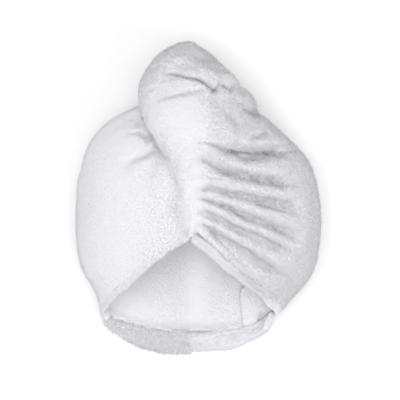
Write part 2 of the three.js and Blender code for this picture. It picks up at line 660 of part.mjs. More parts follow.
const hemOutside = hemThickness - clothWall;
const hemGroove = 2.2; // depth of the groove that parts the right hem in two rolls
const pieces = {
  hood_left: hoodPanel(-1),
  hood_right: hoodPanel(1),
  tail: tailBody(),
  nape_band: edgeStrip(angleSpans.nape, napeBandWidth, 0, -napeBandThickness, 0),
  front_hem_right: edgeStrip(angleSpans.rightFront, hemWidth, hemOutside, -clothWall, hemGroove),
  front_hem_left: edgeStrip(angleSpans.leftFront, hemWidth, 0, -clothWall, 0),
  corner_facing: cornerFacing(),
  fastener: fastener(),
};
const turban = new THREE.Group();
for (const [name, geometry] of Object.entries(pieces)) {
  const mesh = new THREE.Mesh(geometry, materials[name] ?? terry);
  mesh.name = name;
  turban.add(mesh);
}

export default turban;
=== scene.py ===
import math

import bmesh
import bpy
import numpy as np
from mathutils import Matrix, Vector, noise
from mathutils.bvhtree import BVHTree


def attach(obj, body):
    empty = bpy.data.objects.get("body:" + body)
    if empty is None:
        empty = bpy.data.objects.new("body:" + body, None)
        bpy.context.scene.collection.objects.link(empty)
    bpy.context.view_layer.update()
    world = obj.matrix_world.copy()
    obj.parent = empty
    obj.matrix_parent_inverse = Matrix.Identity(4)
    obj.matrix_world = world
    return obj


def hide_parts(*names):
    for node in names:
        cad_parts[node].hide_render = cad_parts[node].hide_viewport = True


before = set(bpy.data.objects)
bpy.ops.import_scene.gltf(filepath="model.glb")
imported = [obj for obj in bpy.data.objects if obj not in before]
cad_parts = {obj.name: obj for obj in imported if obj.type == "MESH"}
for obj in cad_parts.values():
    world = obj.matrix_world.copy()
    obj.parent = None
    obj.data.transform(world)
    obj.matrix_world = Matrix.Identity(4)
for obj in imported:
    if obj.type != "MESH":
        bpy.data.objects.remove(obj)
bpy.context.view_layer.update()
mm = 0.001

# Camera: straight above the turban, with its crown at the top of the picture.
cameraSetup = {"target": (2.1 * mm, -0.5 * mm, 60 * mm), "distance": 2.14, "widthSeen": 0.416}


def makeCamera():
    data = bpy.data.cameras.new("camera")
    data.sensor_width = 36
    data.lens = data.sensor_width * cameraSetup["distance"] / cameraSetup["widthSeen"]
    camera = bpy.data.objects.new("camera", data)
    bpy.context.scene.collection.objects.link(camera)
    x, y, z = cameraSetup["target"]
    camera.location = (x, y, z + cameraSetup["distance"])
    bpy.context.scene.camera = camera


makeCamera()
print("camera set")


# Shader maths: one output of a node, so that values are combined as expressions.
class Wire:
    def __init__(self, tree, socket):
        self.tree = tree
        self.socket = socket

    def combine(self, operation, first, second):
        node = self.tree.nodes.new("ShaderNodeMath")
        node.operation = operation
        plug(self.tree, node.inputs[0], first)
        plug(self.tree, node.inputs[1], second)
        return Wire(self.tree, node.outputs[0])

    def __add__(self, other):
        return self.combine("ADD", self, other)

    def __radd__(self, other):
        return self.combine("ADD", other, self)

    def __sub__(self, other):
        return self.combine("SUBTRACT", self, other)

    def __rsub__(self, other):
        return self.combine("SUBTRACT", other, self)

    def __mul__(self, other):
        return self.combine("MULTIPLY", self, other)

    def __rmul__(self, other):
        return self.combine("MULTIPLY", other, self)


def plug(tree, socket, value):
    if isinstance(value, Wire):
        value = value.socket
    if isinstance(value, bpy.types.NodeSocket):
        tree.links.new(value, socket)
    else:
        socket.default_value = value


# Inputs are given by their names, or by their places as i0, i1 and so on.
def addNode(tree, kind, settings=(), **inputs):
    made = tree.nodes.new(kind)
    for name, value in dict(settings).items():
        setattr(made, name, value)
    for name, value in inputs.items():
        numbered = name[0] == "i" and name[1:].isdigit()
        plug(tree, made.inputs[int(name[1:]) if numbered else name.replace("_", " ")], value)
    return made


# A material and its tree. node() makes any node from its type, its settings and its inputs.
class Finish:
    def __init__(self, name, **uniform):
        self.material = bpy.data.materials.new(name)
        self.material.use_nodes = True
        self.tree = self.material.node_tree
        self.shader = self.tree.nodes["Principled BSDF"]
        for socket, value in uniform.items():
            self.shader.inputs[socket.replace("_", " ")].default_value = value

    def node(self, kind, settings=(), output=0, **inputs):
        return Wire(self.tree, addNode(self.tree, kind, settings, **inputs).outputs[output])

    def mixColour(self, factor, first, second):
        return self.node("ShaderNodeMix", {"data_type": "RGBA"}, 2, i0=factor, i6=first, i7=second)

    def feed(self, **inputs):
        for name, value in inputs.items():
            plug(self.tree, self.shader.inputs[name.replace("_", " ")], value)


# Floor, world and lights: plain white, with a large key light above and a weak one at the lower right.
lightSetup = {
    "keyPlace": (-0.3, 0.0, 2.62),
    "keySize": 1.6,
    "keyPower": 29,
    "fillPlace": (1.2, -1.2, 2.0),
    "fillSize": 1.4,
    "fillPower": 13,
    "aim": (0, 0, 0.05),
    "world": 0.65,
    "floorColour": (0.99, 0.99, 0.99, 1),
    "floorReach": 4.0,
}


def addLight(name, place, size, power):
    data = bpy.data.lights.new(name, "AREA")
    data.size = size
    data.energy = power
    light = bpy.data.objects.new(name, data)
    bpy.context.scene.collection.objects.link(light)
    light.location = place
    aim = Vector(lightSetup["aim"]) - Vector(place)
    light.rotation_euler = aim.to_track_quat("-Z", "Y").to_euler()


def makeStage():
    mesh = bpy.data.meshes.new("floor")
    reach = lightSetup["floorReach"]
    corners = [(-reach, -reach, 0), (reach, -reach, 0), (reach, reach, 0), (-reach, reach, 0)]
    mesh.from_pydata(corners, [], [(0, 1, 2, 3)])
    floor = bpy.data.objects.new("floor", mesh)
    bpy.context.scene.collection.objects.link(floor)
    finish = Finish("floorWhite", Base_Color=lightSetup["floorColour"], Roughness=0.9)
    mesh.materials.append(finish.material)
    addLight("key", lightSetup["keyPlace"], lightSetup["keySize"], lightSetup["keyPower"])
    addLight("fill", lightSetup["fillPlace"], lightSetup["fillSize"], lightSetup["fillPower"])
    world = bpy.data.worlds.new("studio")
    world.use_nodes = True
    world.node_tree.nodes["Background"].inputs["Color"].default_value = (1, 1, 1, 1)
    world.node_tree.nodes["Background"].inputs["Strength"].default_value = lightSetup["world"]
    bpy.context.scene.world = world
    bpy.context.scene.view_settings.view_transform = "Standard"


makeStage()
print("stage set")


# Finishes. The attributes "creaseShade" (painted shade in the folds), "brownTint" and "cover" of the
# cloth reach the tufts that grow on it.
clothColours = {
    "pile": (0.925, 0.925, 0.96, 1),
    # a lighter copy of the pile: painted light on the band's right half and the hem
    "pilePaintedLight": (0.945, 0.945, 0.98, 1),
    # painted shade for tufts that lie deeper
    "pileShaded": (0.70, 0.70, 0.75, 1),
    "ground": (0.86, 0.86, 0.885, 1),
    "groundShaded": (0.80, 0.80, 0.825, 1),
    "inner": (0.895, 0.885, 0.915, 1),
    "innerShaded": (0.84, 0.83, 0.86, 1),
    # painted shade, mixed into the folds by their depth
    "creaseShade": (0.58, 0.58, 0.62, 1),
    # a brownish tint, strongest along the crease below the tail
    "brownTint": (0.66, 0.52, 0.34, 1),
    # lighter than the inner cloth, making up for the hem's shadow on the facing: painted light
    "facing": (0.965, 0.965, 0.995, 1),
    "thread": (0.78, 0.78, 0.81, 1),
    "button": (0.80, 0.80, 0.81, 1),
    "buttonCloud": (0.88, 0.88, 0.90, 1),
}

# A cloth's grain: clumps for each metre, depth of its bump, and sheen. Wide patches vary its tone too.
terryGrain = (420.0, 0.6 * mm, 0.2)
facingGrain = (900.0, 0.15 * mm, 0.1)
threadGrain = (1500.0, 0.1 * mm, 0.1)
patchScale, patchShare = 38.0, 0.25

# Painted shade: some tufts are painted darker at random, standing for tufts that lie deeper in their
# neighbours' shade, most of all where the pile is ruffled.
pileSpeckleShade = {"perMetre": 620.0, "limit": 0.57, "contrast": 3.6, "shortPile": 0.55, "creaseShadeShare": 0.7}


# Mixes painted shade into the folds by their depth, then the brownish tint.
def creaseShadeAndTint(finish, tone, creaseShadeShare):
    creaseShade = finish.node("ShaderNodeAttribute", {"attribute_name": "creaseShade"}, 2)
    brownTint = finish.node("ShaderNodeAttribute", {"attribute_name": "brownTint"}, 2)
    creased = finish.mixColour(creaseShade * creaseShadeShare, tone, clothColours["creaseShade"])
    return finish.mixColour(brownTint, creased, clothColours["brownTint"])


def clothFinish(name, colour, shade, grain):
    clumpScale, bumpDepth, sheen = grain
    settings = {"Roughness": 0.95, "Sheen_Roughness": 0.6, "Specular_IOR_Level": 0.15}
    finish = Finish(name, Sheen_Weight=sheen, **settings)
    place = finish.node("ShaderNodeTexCoord", output=3)
    clumps = finish.node("ShaderNodeTexNoise", Vector=place, Scale=clumpScale, Detail=3.0, Roughness=0.6)
    patches = finish.node("ShaderNodeTexNoise", Vector=place, Scale=patchScale, Detail=2.0)
    tone = finish.mixColour(clumps * (1 - patchShare) + patches * patchShare, shade, colour)
    bump = finish.node("ShaderNodeBump", Strength=0.8, Distance=bumpDepth, Height=clumps)
    finish.feed(Base_Color=creaseShadeAndTint(finish, tone, 1.0), Normal=bump)
    return finish.material


def pileFinish(name, colour):
    settings = {"Roughness": 0.9, "Sheen_Roughness": 0.5, "Specular_IOR_Level": 0.1}
    finish = Finish(name, Sheen_Weight=0.15, **settings)
    place = finish.node("ShaderNodeTexCoord", output=3)
    grain = finish.node("ShaderNodeTexNoise", Vector=place, Scale=pileSpeckleShade["perMetre"], Detail=1.0)
    cover = finish.node("ShaderNodeAttribute", {"attribute_name": "cover"}, 2)
    # painted shade: tufts darker at random, more where the pile is long
    depth = (pileSpeckleShade["limit"] - grain) * pileSpeckleShade["contrast"]
    speckleShade = depth * (cover - pileSpeckleShade["shortPile"])
    tone = finish.mixColour(speckleShade, colour, clothColours["pileShaded"])
    finish.feed(Base_Color=creaseShadeAndTint(finish, tone, pileSpeckleShade["creaseShadeShare"]))
    return finish.material


terryWhite = clothFinish("terryGround", clothColours["ground"], clothColours["groundShaded"], terryGrain)
innerWhite = clothFinish("terryInner", clothColours["inner"], clothColours["innerShaded"], terryGrain)
pileWhite = pileFinish("terryPile", clothColours["pile"])
pilePaintedLight = pileFinish("terryPilePaintedLight", clothColours["pilePaintedLight"])
facingPaintedLight = clothFinish("facingCloth", clothColours["facing"], clothColours["inner"], facingGrain)
threadWhite = clothFinish("seamThread", clothColours["thread"], clothColours["thread"], threadGrain)


def buttonFinish():
    finish = Finish("buttonPlastic", Roughness=0.5, Specular_IOR_Level=0.4)
    place = finish.node("ShaderNodeTexCoord", output=3)
    cloud = finish.node("ShaderNodeTexNoise", Vector=place, Scale=260.0, Detail=2.0)
    finish.feed(Base_Color=finish.mixColour(cloud, clothColours["button"], clothColours["buttonCloud"]))
    finish.feed(Roughness=0.4 + cloud * 0.25)
    return finish.material


buttonWhite = buttonFinish()
print("finishes made")


# Mesh helpers. A mesh's points are numpy rows in metres.
def pointsOf(mesh):
    flat = np.empty(len(mesh.vertices) * 3, np.float32)
    mesh.vertices.foreach_get("co", flat)
    return flat.reshape(-1, 3).astype(float)


def normalsOf(mesh):
    flat = np.empty(len(mesh.vertices) * 3, np.float32)
    mesh.vertex_normals.foreach_get("vector", flat)
    return flat.reshape(-1, 3).astype(float)


def edgesOf(mesh):
    flat = np.empty(len(mesh.edges) * 2, np.int32)
    mesh.edges.foreach_get("vertices", flat)
    return flat.reshape(-1, 2)


def setPoints(mesh, points):
    mesh.vertices.foreach_set("co", points.astype(np.float32).ravel())
    mesh.update()


def setAttribute(mesh, name, kind, values, domain="POINT"):
    made = mesh.attributes.new(name, kind, domain)
    field = "vector" if kind == "FLOAT_VECTOR" else "value"
    made.data.foreach_set(field, values.astype(np.int32 if kind == "INT" else np.float32).ravel())


def eased(value, low, high):
    share = np.clip((value - low) / (high - low), 0, 1)
    return share * share * (3 - 2 * share)


def averaged(points, edges, weight):
    count = np.bincount(edges.ravel(), minlength=len(points))[:, None]
    total = np.empty_like(points)
    for axis in range(3):
        ahead = np.bincount(edges[:, 0], points[edges[:, 1], axis], len(points))
        behind = np.bincount(edges[:, 1], points[edges[:, 0], axis], len(points))
        total[:, axis] = ahead + behind
    return points + weight * (total / np.maximum(count, 1) - points)


# Smoothing that keeps the volume: each round is a step inward and nearly as much outward.
smoothSteps = (0.55, -0.5)


def smoothed(mesh, rounds):
    points, edges = pointsOf(mesh), edgesOf(mesh)
    for _ in range(rounds):
        for step in smoothSteps:
            points = averaged(points, edges, step)
    setPoints(mesh, points)


def bumps(points, rows):
    heights = np.zeros(len(points))
    for spacing, height in rows:
        heights += height * np.array([noise.noise(Vector(p)) for p in points / spacing])
    return heights


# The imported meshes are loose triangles, so copies of the named ones are merged first, each swollen
# along its normals.
def mergedCopy(swelling):
    joined = bmesh.new()
    for name, swell in swelling.items():
        part = bmesh.new()
        part.from_mesh(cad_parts[name].data)
        bmesh.ops.remove_doubles(part, verts=part.verts, dist=0.001 * mm)
        part.normal_update()
        for vert in part.verts:
            vert.co += vert.normal * swell
        copy = bpy.data.meshes.new("part")
        part.to_mesh(copy)
        part.free()
        joined.from_mesh(copy)
        bpy.data.meshes.remove(copy)
    mesh = bpy.data.meshes.new("joined")
    joined.to_mesh(mesh)
    joined.free()
    return mesh


def linked(name, mesh):
    piece = bpy.data.objects.new(name, mesh)
    bpy.context.scene.collection.objects.link(piece)
    return piece


def evaluatedMesh(piece):
    depsgraph = bpy.context.evaluated_depsgraph_get()
    return bpy.data.meshes.new_from_object(piece.evaluated_get(depsgraph), depsgraph=depsgraph)


def withModifier(mesh, kind, **settings):
    work = linked("work", mesh)
    modifier = work.modifiers.new("work", kind)
    for name, value in settings.items():
        setattr(modifier, name, value)
    made = evaluatedMesh(work)
    bpy.data.objects.remove(work)
    return made


def skinOf(swelling, voxel, rounds):
    mesh = withModifier(mergedCopy(swelling), "REMESH", mode="VOXEL", voxel_size=voxel)
    smoothed(mesh, rounds)
    return mesh


# Splits the faces whose corners are all chosen into four.
def refined(mesh, chosen):
    work = bmesh.new()
    work.from_mesh(mesh)
    edges = [edge for edge in work.edges if all(chosen[vert.index] for vert in edge.verts)]
    bmesh.ops.subdivide_edges(work, edges=edges, cuts=1, use_grid_fill=True)
    made = bpy.data.meshes.new("refined")
    work.to_mesh(made)
    work.free()
    return made


def finishMesh(mesh, *materials):
    mesh.polygons.foreach_set("use_smooth", [True] * len(mesh.polygons))
    mesh.materials.clear()
    for material in materials:
        mesh.materials.append(material)


def surfaceOf(*names):
    part = bmesh.new()
    for name in names:
        part.from_mesh(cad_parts[name].data)
    tree = BVHTree.FromBMesh(part)
    part.free()
    return tree


def nearestOn(tree, points):
    sides = np.empty((len(points), 3))
    gaps = np.empty(len(points))
    places = np.empty((len(points), 3))
    for row, point in enumerate(points):
        places[row], sides[row], _, gaps[row] = tree.find_nearest(Vector(point))
    return places, sides, gaps


# The cloth of the hood and the tail is one continuous skin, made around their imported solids.
clothSetup = {
    "hoodSwell": 0.3 * mm,
    "hemSwell": 0.4 * mm,
    "tailSwell": 1.0 * mm,
    "voxel": 3.0 * mm,
    "skinRounds": 3,
    "fineHeight": 45 * mm,  # above this the front has smaller faces
    "fineLeft": (30 * mm, -70 * mm, -30 * mm),  # how far left: beyond this y, and below it
    "fineTurn": -0.1,  # least rise of their normals
    "smoothing": 4,
    "creaseDepth": 0.5 * mm,  # folds deeper than this have smaller faces still
    "creaseHeight": 35 * mm,
    "creaseTurn": -0.5,
    "creaseSmoothing": 2,
    "axisHeight": 45 * mm,  # height of the hood's middle line
    "tailHeight": 40 * mm,  # below this the tail's back run is treated as hood
    "innerTurn": -0.25,  # the inner side's normals turn at least this far inward,
    "boxTurn": -0.5,  # and in hollowBox this far
    "crownWall": (75 * mm, -0.4),  # beyond this y, facing back this far, lies the end of the hollow
    "blendRounds": 60,
    "blendWeight": 0.6,
    "blendHeights": (95 * mm, 110 * mm),
    "blendReach": (9 * mm, 20 * mm),  # around tailStart
    "blendInside": (8 * mm, 16 * mm),  # across, on both sides of the front seam
    "frontHeights": (20 * mm, 45 * mm),  # between these the folds and pleats grow to their full depth
    "frontTurn": 0.35,  # and over this rise of the normals, from 0 on the hood
    "tailTurn": -0.7,  # or from here on the tail
    "bumps": ((30 * mm, 1.0 * mm), (11 * mm, 0.5 * mm), (4 * mm, 0.35 * mm)),  # spacing and height
    "waver": (16 * mm, 2.2 * mm),  # spacing and reach of the folds' waviness
    "foldWaver": 0.15,
    "pleatWaver": (0.5, 1),  # across, and along y
    "sink": 1.2 * mm,  # the pile stands on the cloth, so the cloth lies this far inside the solids
    "sinkReach": (0.5 * mm, 6 * mm),  # from the pieces that it meets,
    "seamSwell": 0.5,  # where it swells out by this share of it
    "fillet": 3.6 * mm,  # rise of the inner side towards the nape band
    "filletReach": (0.5 * mm, 11 * mm),
    "filletEnd": (44, 56),  # millimetres across
    "floorGap": 0.3 * mm,
}

# The pleats that fan out over the right panel.
pleatSetup = {
    "height": 6.4 * mm,
    "fade": (-4, 14, 74, 114),  # places across where they start and end, in millimetres
    "spacing": 17 * mm,  # pleats closer than this are lower
    "lowest": 0.4,  # share of the height that the closest ones keep
    "roundness": 0.7,
    "middle": 0.75,  # share of the height that lies below the solids
}

# Valleys between the pleats of the right panel, in millimetres: y of each from the tail down, at the
# places across in pleatColumns.
pleatColumns = (5, 30, 55, 80, 105)
pleatValleys = (
    (58, 48.2, 46.2, 49.2, 53),
    (38, 28.3, 22.2, 18.2, 14),
    (9.9, 5.9, 1.9, -3.0, -7.7),
    (1.6, -8.6, -19.1, -29.6, -40.3),
    (-12.3, -24.6, -35.8, -46.7, -57.6),
    (-25.5, -41.4, -57.1, -73.3, -89),
    (-40.8, -65.9, -92, -118, -144),
)

# Single folds of the front, in millimetres: points along each with the share of its depth that it has
# there, its depth, and its half width on its upper and on its lower side. A negative depth is a ridge.
folds = {
    "belowTail": (
        ((12, 57, 0.1), (15.5, 55.1, 0.3), (25.6, 50.8, 0.7), (37.5, 48, 1), (49.3, 46.7, 1))
        + ((59.4, 47, 0.9), (69.5, 48.3, 0.6), (79.6, 49.2, 0.35), (89.7, 47.5, 0.2)), 5.6, 1.3, 2.3),
    "minorPleat": (((7, 23, 0.6), (17, 21, 1), (30, 17, 0.4)), 1.8, 2.0, 3.0),
    "betweenPleats": (((62, -4, 0.4), (84, -10, 1), (104, -14, 0.3)), 2.2, 2.2, 3.5),
    "secondRoll": (
        ((16.2, -32.9, 1), (22.2, -42, 1), (29.3, -49, 0.8), (36.4, -57.1, 0.8), (46.5, -67.2, 0.5)),
        2.0, 1.6, 2.2),
    "besideHem": (
        ((-1.0, -33.9, 0.6), (7.1, -44.0, 1), (16.2, -53.1, 1), (24.3, -61.2, 1), (32.4, -69.3, 1))
        + ((39.5, -77.4, 1), (45.6, -82.4, 0.7)), 2.4, 1.6, 1.8),
    "corner": (
        ((49.9, -82.7, 0.5), (59.3, -90, 1), (66.6, -97.2, 1), (73, -104.5, 1), (77, -112.8, 0.6)),
        3.6, 3.8, 2.8),
    "apex": (((-8, -36, 0.8), (-1, -38.5, 1), (3, -40, 0.6)), -1.8, 2.0, 2.4),
    "beneathRidge": (((-20, 40, 0.3), (-24, 10, 1), (-26, -15, 1), (-17, -33, 0.5)), 1.8, 6.0, 6.0),
    "tailEdge": (
        ((-62, 86, 0.4), (-60.6, 80.4, 0.8), (-55.5, 70.3, 1), (-48.5, 60.1, 1), (-42.4, 50, 1))
        + ((-37, 44, 0.7), (-30.3, 39.9, 0.5), (-28.2, 33.9, 0.2)), 3.0, 2.6, 4.4),
    "tailMain": (
        ((-34, 129.5, 0.1), (-25.5, 127.8, 0.35), (-17.1, 126.9, 0.5), (-8, 124.6, 0.65))
        + ((2.1, 121.3, 0.85), (10.4, 117.7, 1), (16.2, 112.7, 0.9)), 8.0, 1.2, 2.4),
    "tailMainLip": (((-24, 132, 0.5), (-8, 129, 1), (4, 125.5, 0.7)), -1.4, 3.0, 3.4),
    "tailPit": (((23.2, 118, 0.4), (28, 115.4, 1), (33.2, 113, 0.7)), 3.6, 2.2, 2.6),
    "tailShade": (
        ((-13, 147.2, 0.5), (-2.9, 145.2, 0.9), (7.1, 143.2, 1), (17.2, 135.1, 1))
        + ((24.2, 130.1, 0.9), (30.2, 124.1, 0.5)), 2.4, 4.0, 6.5),
    "tailLow": (
        ((-44, 99.5, 0.2), (-38.1, 102.5, 0.6), (-28.1, 104.5, 0.8), (-18, 107, 1))
        + ((-8, 109.1, 1), (2.1, 111.1, 0.7), (8, 112.5, 0.3)), 2.6, 1.6, 3.2),
    "tailLeft": (((-55.2, 107, 0.6), (-48.2, 112, 1), (-40.1, 114, 0.6)), 1.4, 2.0, 3.0),
    "tailDip": (
        ((22.2, 92, 0.3), (28.2, 88, 0.7), (36, 82, 1), (41.3, 76, 0.9), (42.3, 68, 0.3)), 2.0, 3.5, 5.5),
    "tailLobes": (((38, 101, 0.3), (45.3, 97, 0.7), (52.3, 92, 1), (62.4, 87, 1.3)), 2.6, 3.2, 4.6),
    "tailCorner": (((58, 63, 0.4), (63, 64.5, 1), (69, 68, 0.6)), 3.0, 3.0, 4.4),
    "leftOne": (((-76.2, 82.8, 0.6), (-55.8, 82.8, 1)), 1.6, 2.2, 3.4),
    "leftTwo": (((-73.1, 68.6, 0.5), (-60.9, 69.6, 1), (-51.8, 62.5, 1)), 2.8, 1.6, 2.8),
    "leftThree": (
        ((-73.1, 37.1, 0.6), (-64, 42.2, 1), (-53.8, 45.2, 1), (-46.7, 50.3, 0.8)), 2.2, 1.8, 3.2),
}
foldEnd = 4.0  # half width past either end of a fold
# Folds deeper and narrower than this are bare along their core, whose half width is the last value.
narrowFold = {"depth": 5.0, "width": 4.5, "core": 1.2}

# The outline as it lies, in millimetres: y, middle and half width of the solids there, and how far
# the cloth's left and right sides are moved to the right.
outline = (
    (158, -12, 20, 6, -8),
    (154, -12, 24, 6, -9),
    (142, -10.5, 40.7, 6, -10),
    (130, -9, 50, 6, -9.5),
    (118, -7.5, 55.8, 3.5, -6.5),
    (106, -2, 62, 2.5, -6),
    (94, -1, 66, 3, -6),
    (82, -7, 81, 0, -5),
    (70, -7, 94, 0, -4),
    (52, -4, 110.5, 1, -4.5),
    (40, -1, 116.5, 1, -4),
    (20, 0, 122.6, 0, -3.2),
    (4, 0, 122.6, 0, -2.4),
    (-6, 0, 122.6, 0, -0.8),
    (-20, 0, 122.6, 0, 0),
)
outlineCalm = 0.15  # share of the half width, around the middle, that stays in place


def outlineShift(x, y):
    rows = np.array(outline[::-1], float).T
    middle, half, left, right = (np.interp(y, rows[0], row) for row in rows[1:])
    share = (x - middle) / half
    return (left * eased(-share, outlineCalm, 1) + right * eased(share, outlineCalm, 1)) * mm


# Bulges of the outline on the right of the tail: middle, reach and height in millimetres.
lobes = (((53, 101), 7, 1.8), ((59.5, 91), 4.5, -2.2), ((66, 80), 8, 2.0), ((44, 118), 5, -1.2))


# The relief of the folds at places in millimetres, and the share of bare core in the narrow ones.
def foldRelief(x, y):
    total = np.zeros(len(x))
    core = np.zeros(len(x))
    for line, depth, above, below in folds.values():
        nearest = np.full(len(x), 1e9)
        share = np.zeros(len(x))
        past = np.zeros(len(x))
        side = np.zeros(len(x))
        for place, ((ax, ay, first), (bx, by, second)) in enumerate(zip(line, line[1:])):
            dx, dy = bx - ax, by - ay
            length = math.hypot(dx, dy)
            free = ((x - ax) * dx + (y - ay) * dy) / length**2
            held = np.clip(free, 0, 1)
            away = np.hypot(x - ax - held * dx, y - ay - held * dy)
            closer = away < nearest
            nearest = np.where(closer, away, nearest)
            share = np.where(closer, first + held * (second - first), share)
            atEnd = (place == 0) * (free < 0) + (place == len(line) - 2) * (free > 1)
            past = np.where(closer, atEnd, past)
            side = np.where(closer, dx * (y - ay) - dy * (x - ax), side)
        width = np.where(past > 0, foldEnd, np.where(side > 0, above, below))
        total -= depth * share * np.exp(-((nearest / width) ** 2))
        if depth > narrowFold["depth"] and above + below < narrowFold["width"]:
            bare = np.clip(2 * share - 1, 0, 1)
            core = np.maximum(core, bare * np.exp(-((nearest / narrowFold["core"]) ** 2)))
    return total * mm, core


def lobeRelief(x, y):
    total = np.zeros(len(x))
    for (middleX, middleY), reach, height in lobes:
        total += height * np.exp(-(((x - middleX) ** 2 + (y - middleY) ** 2) / reach**2))
    return total * mm


# Between two valleys the cloth bulges, so the valleys are sharp and the pleats round.
def pleatRelief(x, y):
    lines = np.array([np.interp(x, pleatColumns, row) for row in pleatValleys])
    gaps = lines[:-1] - lines[1:]
    shares = np.clip((lines[:-1] - y) / gaps, 0, 1)
    phase = shares.sum(axis=0)
    inside = (y < lines[0]) & (y > lines[-1])
    row = np.minimum(phase.astype(int), len(gaps) - 1)
    spacing = np.take_along_axis(gaps, row[None, :], axis=0)[0] * mm
    height = pleatSetup["height"] * np.clip(spacing / pleatSetup["spacing"], pleatSetup["lowest"], 1)
    bulge = np.abs(np.sin(math.pi * phase)) ** pleatSetup["roundness"]
    start, full, fading, gone = pleatSetup["fade"]
    fade = eased(x, start, full) * (1 - eased(x, fading, gone))
    return np.where(inside, (bulge - pleatSetup["middle"]) * height * fade, 0)


# The crown end of the hollow, where the tail's roll forms part of the wall.
hollowBox = np.array([(-75, 20, 25), (75, 112, 112)]) * mm
# Places over which the start of the tail runs into the ridge of the front seam.
tailStart = np.array([[-14.0, 14.0], [0.0, 20.0], [10.0, 32.0], [17.0, 46.0]]) * mm


def clothSkin():
    swelling = {"hood_left": clothSetup["hoodSwell"], "hood_right": clothSetup["hoodSwell"]}
    swelling |= {"front_hem_left": clothSetup["hemSwell"], "tail": clothSetup["tailSwell"]}
    mesh = skinOf(swelling, clothSetup["voxel"], clothSetup["skinRounds"])
    points, normals = pointsOf(mesh), normalsOf(mesh)
    turn, beyond, below = clothSetup["fineLeft"]
    fine = (normals[:, 2] > clothSetup["fineTurn"]) & (points[:, 2] > clothSetup["fineHeight"])
    fine &= points[:, 0] > np.where(points[:, 1] > turn, beyond, below)
    mesh = refined(mesh, fine)
    smoothed(mesh, clothSetup["smoothing"])
    points, normals = pointsOf(mesh), normalsOf(mesh)
    creased = foldRelief(points[:, 0] / mm, points[:, 1] / mm)[0] < -clothSetup["creaseDepth"]
    creased &= (normals[:, 2] > clothSetup["creaseTurn"]) & (points[:, 2] > clothSetup["creaseHeight"])
    mesh = refined(mesh, creased)
    smoothed(mesh, clothSetup["creaseSmoothing"])
    return mesh


# Which points lie on the inner side of the cloth, and which on the tail.
def sidesOf(points, normals):
    hoodPlace, _, hoodGap = nearestOn(surfaceOf("hood_left", "hood_right", "front_hem_left"), points)
    tailGap = nearestOn(surfaceOf("tail"), points)[2]
    outward = hoodPlace - np.array([0, 0, clothSetup["axisHeight"]])
    outward[:, 1] = 0
    outward /= np.linalg.norm(outward, axis=1)[:, None]
    turned = np.sum(normals * outward, axis=1)
    inBox = np.all((points > hollowBox[0]) & (points < hollowBox[1]), axis=1)
    wallPlace, wallTurn = clothSetup["crownWall"]
    crownWall = (normals[:, 1] < wallTurn) & (points[:, 1] > wallPlace)
    within = (turned < clothSetup["innerTurn"]) & (hoodGap <= tailGap)
    within |= ((turned < clothSetup["boxTurn"]) | crownWall) & inBox
    onTail = (tailGap < hoodGap) & (points[:, 2] > clothSetup["tailHeight"]) & ~within
    return within, onTail


# Evens out the start of the tail and the inner side of the front seam, and moves the outline.
def settled(points, edges, within):
    away = np.hypot(points[:, None, 0] - tailStart[:, 0], points[:, None, 1] - tailStart[:, 1])
    near, far = clothSetup["blendReach"]
    mask = eased(points[:, 2], *clothSetup["blendHeights"]) * eased(-np.min(away, axis=1), -far, -near)
    inside = within * (1 - eased(np.abs(points[:, 0]), *clothSetup["blendInside"]))
    mask = np.maximum(mask, inside)[:, None]
    for _ in range(clothSetup["blendRounds"]):
        points = averaged(points, edges, clothSetup["blendWeight"] * mask)
    points[:, 0] += outlineShift(points[:, 0] / mm, points[:, 1] / mm)
    return points


# Where the pile grows on the cloth, each zone with its own tufts.
pileZones = {"left": 1, "right": 2, "tail": 3, "inside": 4, "back": 5, "none": 6}
zoneSetup = {
    "leftEnd": 4 * mm,
    "backHeight": 30 * mm,
    "backTurn": -0.1,
    "bareHeight": 3 * mm,
    "insideEnd": -20 * mm,  # y, beyond which the hollow is bare
    "edgeOn": 0.25,  # normals with less rise than this stand on the outline as seen from above
    "fringeHeight": 25 * mm,
    "rimReach": 2.6 * mm,
    "rimTurn": -0.2,
    "rimEnd": -112 * mm,
}


def setZones(mesh, points, normals, within, onTail, fringe):
    zone = np.where(points[:, 0] < zoneSetup["leftEnd"], pileZones["left"], pileZones["right"])
    behind = (normals[:, 2] < zoneSetup["backTurn"]) | (points[:, 2] < zoneSetup["backHeight"])
    zone[behind] = pileZones["back"]
    zone[onTail] = pileZones["tail"]
    zone[points[:, 2] < zoneSetup["bareHeight"]] = pileZones["none"]
    deep = points[within, 1] < zoneSetup["insideEnd"]
    zone[within] = np.where(deep, pileZones["inside"], pileZones["none"])
    corners = np.empty(len(mesh.loops), np.int32)
    mesh.loops.foreach_get("vertex_index", corners)
    starts = np.empty(len(mesh.polygons), np.int32)
    mesh.polygons.foreach_get("loop_start", starts)
    first = corners[starts]
    setAttribute(mesh, "zone", "INT", zone[first], "FACE")
    setAttribute(mesh, "fringe", "INT", fringe[first], "FACE")
    mesh.polygons.foreach_set("material_index", within[first].astype(np.int32))
    return zone


# The nap's direction in each zone, and how it drifts across the cloth.
combSetup = {
    "front": (0.45, -0.9, 0.0),
    "back": (0.0, -1.0, -0.1),
    "inside": (0.7, -0.7, 0.0),
    "rim": (1.0, -1.3, 0.6),
    "drift": ((50 * mm, 1.0),),
}


def setComb(mesh, points, zone, rim):
    comb = np.tile(np.array(combSetup["front"]), (len(points), 1))
    comb[zone == pileZones["back"]] = combSetup["back"]
    comb[zone == pileZones["inside"]] = combSetup["inside"]
    comb[rim] = combSetup["rim"]
    comb[:, 0] += bumps(points, combSetup["drift"])
    setAttribute(mesh, "comb", "FLOAT_VECTOR", comb)


